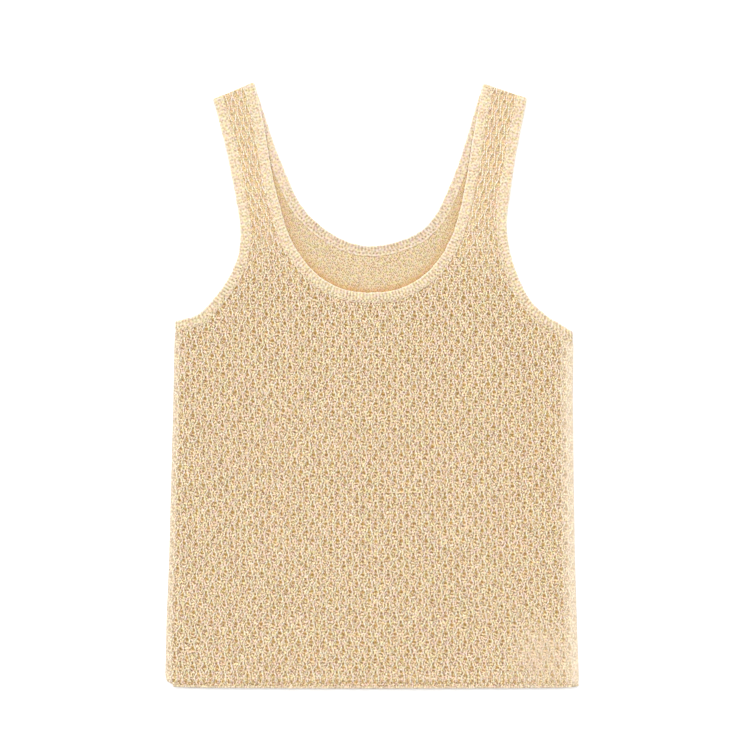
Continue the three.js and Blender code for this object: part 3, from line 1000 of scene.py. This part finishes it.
# Painted shadow on the inside of the back: strongest at the front neckline, reaching further out
# towards the sides, also beside the bands, and weaker up the straps
front_edge_line = curve_points(FRONT_NECK, divisions=12)
reach = SHADE_REACH + SHADE_WIDENING * abs(plane[:, 0])
neck_shadow = 1 - smoothstep(0, reach, gap_to_lines(plane, [front_edge_line]))
neck_shadow = np.maximum(neck_shadow, SHADE_BY_BAND * near**2)
neck_shadow *= 1 - SHADE_LOST * smoothstep(*SHADE_FADES, plane[:, 1])
set_attribute(back, "neck_shadow", np.concatenate([neck_shadow, neck_shadow[rim]]))
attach(back, "root")
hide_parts("back_panel")


# The bands: a ribbed strip knitted on round each opening, with two rows of
# small stitches where it joins the cloth. It folds over at the shoulders, and
# under the arms at the side seams.
BAND_LIGHT = srgb(237, 222, 200)
BAND_SHADE = srgb(196, 174, 146)
BAND_INSIDE = srgb(247, 245, 249)
BAND_EDGE_HIGHLIGHT = srgb(255, 250, 238)
BAND_HOLLOW_SHADE = srgb(134, 112, 80)
BAND_PURLS = (0.75, 2.9)
BAND_FLECK = 0.84
BAND_RELIEF = 0.3 * MM
BAND_EDGES = (-0.1, 0.85)
HOLLOW_EDGES = (0.05, 1.0)
LIT_EDGE = (0.16, 0.0)
LIT_SHARE = 0.6
band_yarn, tree, shader, yarn = knit_material("band_yarn", roughness=0.92, sheen=0.25)
grain = add_purls(tree, *BAND_PURLS)[0]
colour = blend_colours(tree, between(tree, grain, *BAND_EDGES), BAND_SHADE, BAND_LIGHT)
# Painted shade in the hollows between the ribs and in the stitch rows, and the painted shadow
# beside the front band's edge
hollow = between(tree, attribute(tree, "hollow"), *HOLLOW_EDGES)
colour = blend_colours(tree, hollow, colour, BAND_HOLLOW_SHADE)
colour = blend_colours(tree, attribute(tree, "inner"), colour, BAND_INSIDE, "MULTIPLY")
# A painted highlight along the band's rounded free edge
across_band = split(tree, lattice_places(tree))["Y"]
edge = multiply(tree, between(tree, across_band, *LIT_EDGE), LIT_SHARE)
colour = blend_colours(tree, edge, colour, BAND_EDGE_HIGHLIGHT)
finish_knit(tree, shader, flecked(tree, yarn, colour, BAND_FLECK), grain, BAND_RELIEF)

# Places across a band, from its free edge, on its outer and its inner face
OUTER_PLACES = MM * np.array([
    0.3, 0.9, 1.6, 2.4, 3.2, 4.0, 4.7, 5.3, 5.9, 6.5, 7.1, 7.6, 8.1, 8.6, 9.1, 9.6, 10.0,
])
INNER_PLACES = MM * np.array([
    9.9, 9.6, 9.2, 8.7, 8.1, 7.5, 6.9, 6.2, 5.2, 4.2, 3.2, 2.2, 1.2, 0.5,
])
INNER_LEVEL = SEAM_GAP / 2
RINGS_PER_RIB = 6
FOLD_RINGS = 9
RIB_DEPTH = 0.4 * MM
RIB_LENGTH = 5.6 * MM
RIB_ENDS = (RIB_LENGTH - 1 * MM, RIB_LENGTH + 0.6 * MM)
RIB_FAINT = 0.35
STITCH_ROWS = (6.4 * MM, 8.3 * MM)
STITCH_HALF = 0.75 * MM
STITCH_DEPTH = 0.8 * MM
STITCH_SLANT = 1.2
HOLLOW_POWER = 1.5


def between_ribs(turn):
    """A narrow hollow between one rib and the next."""
    return (0.5 - 0.5 * np.cos(turn)) ** HOLLOW_POWER


def ribs_and_rows(places, turn, ways, depths):
    """Hollows between the ribs and in the stitch rows, from 0 to 1."""
    fade = 1 - (1 - RIB_FAINT) * smoothstep(*RIB_ENDS, places)
    groove = between_ribs(turn) * fade * RIB_DEPTH / STITCH_DEPTH * depths[0]
    for row, level in enumerate(STITCH_ROWS):
        near = np.exp(-(((places - level - ways[row]) / STITCH_HALF) ** 2))
        slant = STITCH_SLANT * (places - level) / MM * (1 if row else -1)
        pit = np.clip(-np.cos(turn + np.pi * row + slant), 0, 1) * depths[1 + row]
        groove = np.maximum(groove, near * pit)
    return groove


INNER_RIB_ENDS = (4.5 * MM, 6 * MM)
INNER_RIB_DEPTH = 0.5
DITCH_AT = 7.3 * MM
DITCH_HALF = 0.8 * MM
DITCH_DEPTH = 0.35
DITCH_PITS = 0.45
CHAIN_AT = 9.2 * MM
CHAIN_HALF = 0.5 * MM
CHAIN_HEIGHT = 0.8
CHAIN_LINKS = 0.2
LINKS_PER_RIB = 2


def chain_and_ditch(places, turn, depths):
    """The side towards the body: faint ribs, a row of pits, then a raised chain."""
    fade = 1 - smoothstep(*INNER_RIB_ENDS, places)
    hollow = between_ribs(turn) * fade * INNER_RIB_DEPTH * depths[0]
    ditch = np.exp(-(((places - DITCH_AT) / DITCH_HALF) ** 2))
    ditch = ditch * (DITCH_DEPTH + DITCH_PITS * np.cos(turn) * depths[1])
    chain = np.exp(-(((places - CHAIN_AT) / CHAIN_HALF) ** 2))
    chain = chain * (CHAIN_HEIGHT - CHAIN_LINKS * np.cos(LINKS_PER_RIB * turn))
    return np.clip(np.maximum(hollow, ditch) - chain, 0, 1), chain


PHASE_WEAR = 0.05
EDGE_WEAR = 0.16 * MM
ROW_WEAR = 0.22 * MM
DEPTH_WEAR = 0.22
DEPTHS = (0.2, 1.5)


class RibWear:
    """The small unevenness of a hand-finished band, one value or so a rib."""

    def __init__(self, ribs):
        self.ribs = ribs
        self.phase = RANDOM.normal(0, PHASE_WEAR, ribs)
        self.edge = RANDOM.normal(0, EDGE_WEAR, ribs)
        self.ways = RANDOM.normal(0, ROW_WEAR, (ribs, 2))
        self.depths = np.clip(RANDOM.normal(1, DEPTH_WEAR, (ribs, 3)), *DEPTHS)

    def at(self, ribs_along):
        """Phase, edge shift, row shifts and depths at a place counted in ribs."""
        low = int(np.floor(ribs_along))
        part = ribs_along - low
        here, after = low % self.ribs, (low + 1) % self.ribs
        tables = (self.phase, self.edge, self.ways, self.depths)
        return [table[here] * (1 - part) + table[after] * part for table in tables]


BACK_CALM = (0.6, 150 * MM, 200 * MM)
FRONT_CALM = (0.45, 90 * MM, 170 * MM)


def calm_at(place, turn):
    """How much of its relief a band keeps: less where the straps stretch it."""
    lost, low, high = BACK_CALM if turn > np.pi / 2 else FRONT_CALM
    return 1 - lost * float(smoothstep(low, high, place[1]))


RIB_BOW = 0.35
RIB_BOW_RATE = 0.9
FREE_EDGE_RADIUS = 1.3 * MM
COVERING_EDGE = (9.0 * MM, 10.0 * MM)
COVERING_FALL = 0.3
CHAIN_LIFT = 0.1 * MM


def band_ring(place, across, way, turn, ribs_along, wear):
    """One ring of a band, how hollow it is at each point, and its UV places."""
    phase_shift, edge_shift, ways, depths = wear.at(ribs_along)
    phase = 2 * np.pi * (ribs_along + phase_shift)
    bow = RIB_BOW * np.sin(RIB_BOW_RATE * OUTER_PLACES / MM)
    calm = calm_at(place, turn)
    outer_hollow = ribs_and_rows(OUTER_PLACES, phase + bow, ways, depths) * calm
    rise = rounded(OUTER_PLACES, FREE_EDGE_RADIUS)
    fall = 1 - COVERING_FALL * smoothstep(*COVERING_EDGE, OUTER_PLACES)
    outer = INNER_LEVEL + WALL * rise * fall - STITCH_DEPTH * outer_hollow
    inner_hollow, chain = chain_and_ditch(INNER_PLACES, phase, depths)
    inner_hollow = inner_hollow * calm
    inner = INNER_LEVEL + STITCH_DEPTH * inner_hollow - CHAIN_LIFT * chain
    places = np.concatenate([[0], OUTER_PLACES, INNER_PLACES])
    shifted = places + edge_shift * (1 - places / BAND_WIDTH) ** 2
    out = np.concatenate([[INNER_LEVEL + WALL / 2], outer, inner])
    plane_place = place + np.outer(shifted / BAND_WIDTH, across) + np.outer(np.sin(turn) * out, way)
    level = MID_LEVEL + np.cos(turn) * out
    lattice = np.column_stack([np.full(len(places), ribs_along), places / BAND_WIDTH])
    hollow = np.concatenate([[0], outer_hollow, inner_hollow])
    return np.column_stack([plane_place, level]), hollow, lattice


COVERED_EDGES = (0.2 * MM, 1.8 * MM)
UNCOVERED = (225 * MM, 250 * MM)
SHADE_PATCHES = 1.5


def band(name, front_edge, back_edge, rib_pitch):
    """A band along the front of its opening, over a fold, along the back and over
    the other fold, with its ribs evenly spaced all the way."""
    pitch = rib_pitch / RINGS_PER_RIB
    front_place, front_across, front_length = edge_run(*front_edge, pitch)
    back_place, back_across, back_length = edge_run(*back_edge, pitch)
    start_way, end_way = end_ways(front_across)
    fold_run = np.pi * MID_LEVEL
    round_length = front_length + back_length + 2 * fold_run
    ribs = round(round_length / rib_pitch)
    wear = RibWear(ribs)
    rings = []

    def add_ring(place, across, way, turn, run):
        rings.append(band_ring(place, across, way, turn, run / round_length * ribs, wear))

    count = len(front_place)
    for index in range(count):
        run = front_length * index / (count - 1)
        add_ring(front_place[index], front_across[index], end_way, 0, run)
    for step in range(1, FOLD_RINGS):
        share = step / FOLD_RINGS
        run = front_length + fold_run * share
        add_ring(front_place[-1], front_across[-1], end_way, np.pi * share, run)
    count = len(back_place)
    for index in range(count):
        run = front_length + fold_run + back_length * index / (count - 1)
        add_ring(back_place[-1 - index], back_across[-1 - index], end_way, np.pi, run)
    for step in range(1, FOLD_RINGS):
        share = 1 - step / FOLD_RINGS
        add_ring(front_place[0], front_across[0], start_way, np.pi * share, -fold_run * share)
    corners = len(rings[0][0])
    points, hollow, lattice = [np.concatenate(part) for part in zip(*rings)]
    here = np.arange(len(rings))[:, None] * corners + np.arange(corners)
    beside = np.roll(here, -1, axis=1)
    following = np.roll(here, -1, axis=0)
    after = np.roll(beside, -1, axis=0)
    quads = np.stack([here, beside, after, following], axis=-1).reshape(-1, 4)
    piece = mesh_object(name, points, quads.tolist(), [band_yarn], lattice)
    inner = np.repeat([0.0, 1.0], [1 + len(OUTER_PLACES), len(INNER_PLACES)])
    inner = np.tile(inner, len(rings))
    set_attribute(piece, "inner", inner)
    # A painted shadow on the band's inner face, uppermost along the back, beside the front band's
    # edge: patchy ring by ring and ending near the shoulders
    under = inner * (1 - smoothstep(*COVERED_EDGES, gap_to_lines(points[:, :2], [front_edge_line])))
    under *= 1 - smoothstep(*UNCOVERED, points[:, 1])
    under *= np.repeat(RANDOM.uniform(0, 1, len(rings)) ** SHADE_PATCHES, corners)
    set_attribute(piece, "hollow", np.maximum(hollow, under))
    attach(piece, "root")
    return piece


NECK_RIB = 2.94 * MM
ARMHOLE_RIB = 3.1 * MM
neck = band("neck_ribbing", FRONT_NECK_EDGE, BACK_NECK_EDGE, NECK_RIB)
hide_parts("neck_band")
for side, edge in (("right", ARMHOLE_RIGHT_EDGE), ("left", ARMHOLE_LEFT_EDGE)):
    ribbing = band(f"armhole_ribbing_{side}", edge, edge, ARMHOLE_RIB)
    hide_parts(f"armhole_band_{side}")


# The room: a plain pale floor and soft white light from above, a little
# stronger from beyond the straps.
FLOOR_SIZE = 6
FLOOR_DROP = 0.2 * MM
WHITE = (1, 1, 1, 1)
bpy.ops.mesh.primitive_plane_add(size=FLOOR_SIZE, location=(0, 0, -FLOOR_DROP))
floor = bpy.context.object
floor.name = "floor"
pale_floor = bpy.data.materials.new("pale_floor")
pale_floor.use_nodes = True
paint = pale_floor.node_tree.nodes["Principled BSDF"].inputs
paint["Base Color"].default_value = WHITE
paint["Roughness"].default_value = 1
floor.data.materials.append(pale_floor)

world = bpy.data.worlds.new("soft_room")
world.use_nodes = True
sky = world.node_tree.nodes["Background"].inputs
sky["Color"].default_value = WHITE
sky["Strength"].default_value = 1.0
bpy.context.scene.world = world

KEY_STRENGTH = 1.95
KEY_SPREAD = 35
KEY_TILT = (-38, -12, 0)
key_data = bpy.data.lights.new("key", "SUN")
key_data.energy = KEY_STRENGTH
key_data.angle = math.radians(KEY_SPREAD)
key = bpy.data.objects.new("key", key_data)
key.rotation_euler = [math.radians(angle) for angle in KEY_TILT]
bpy.context.scene.collection.objects.link(key)
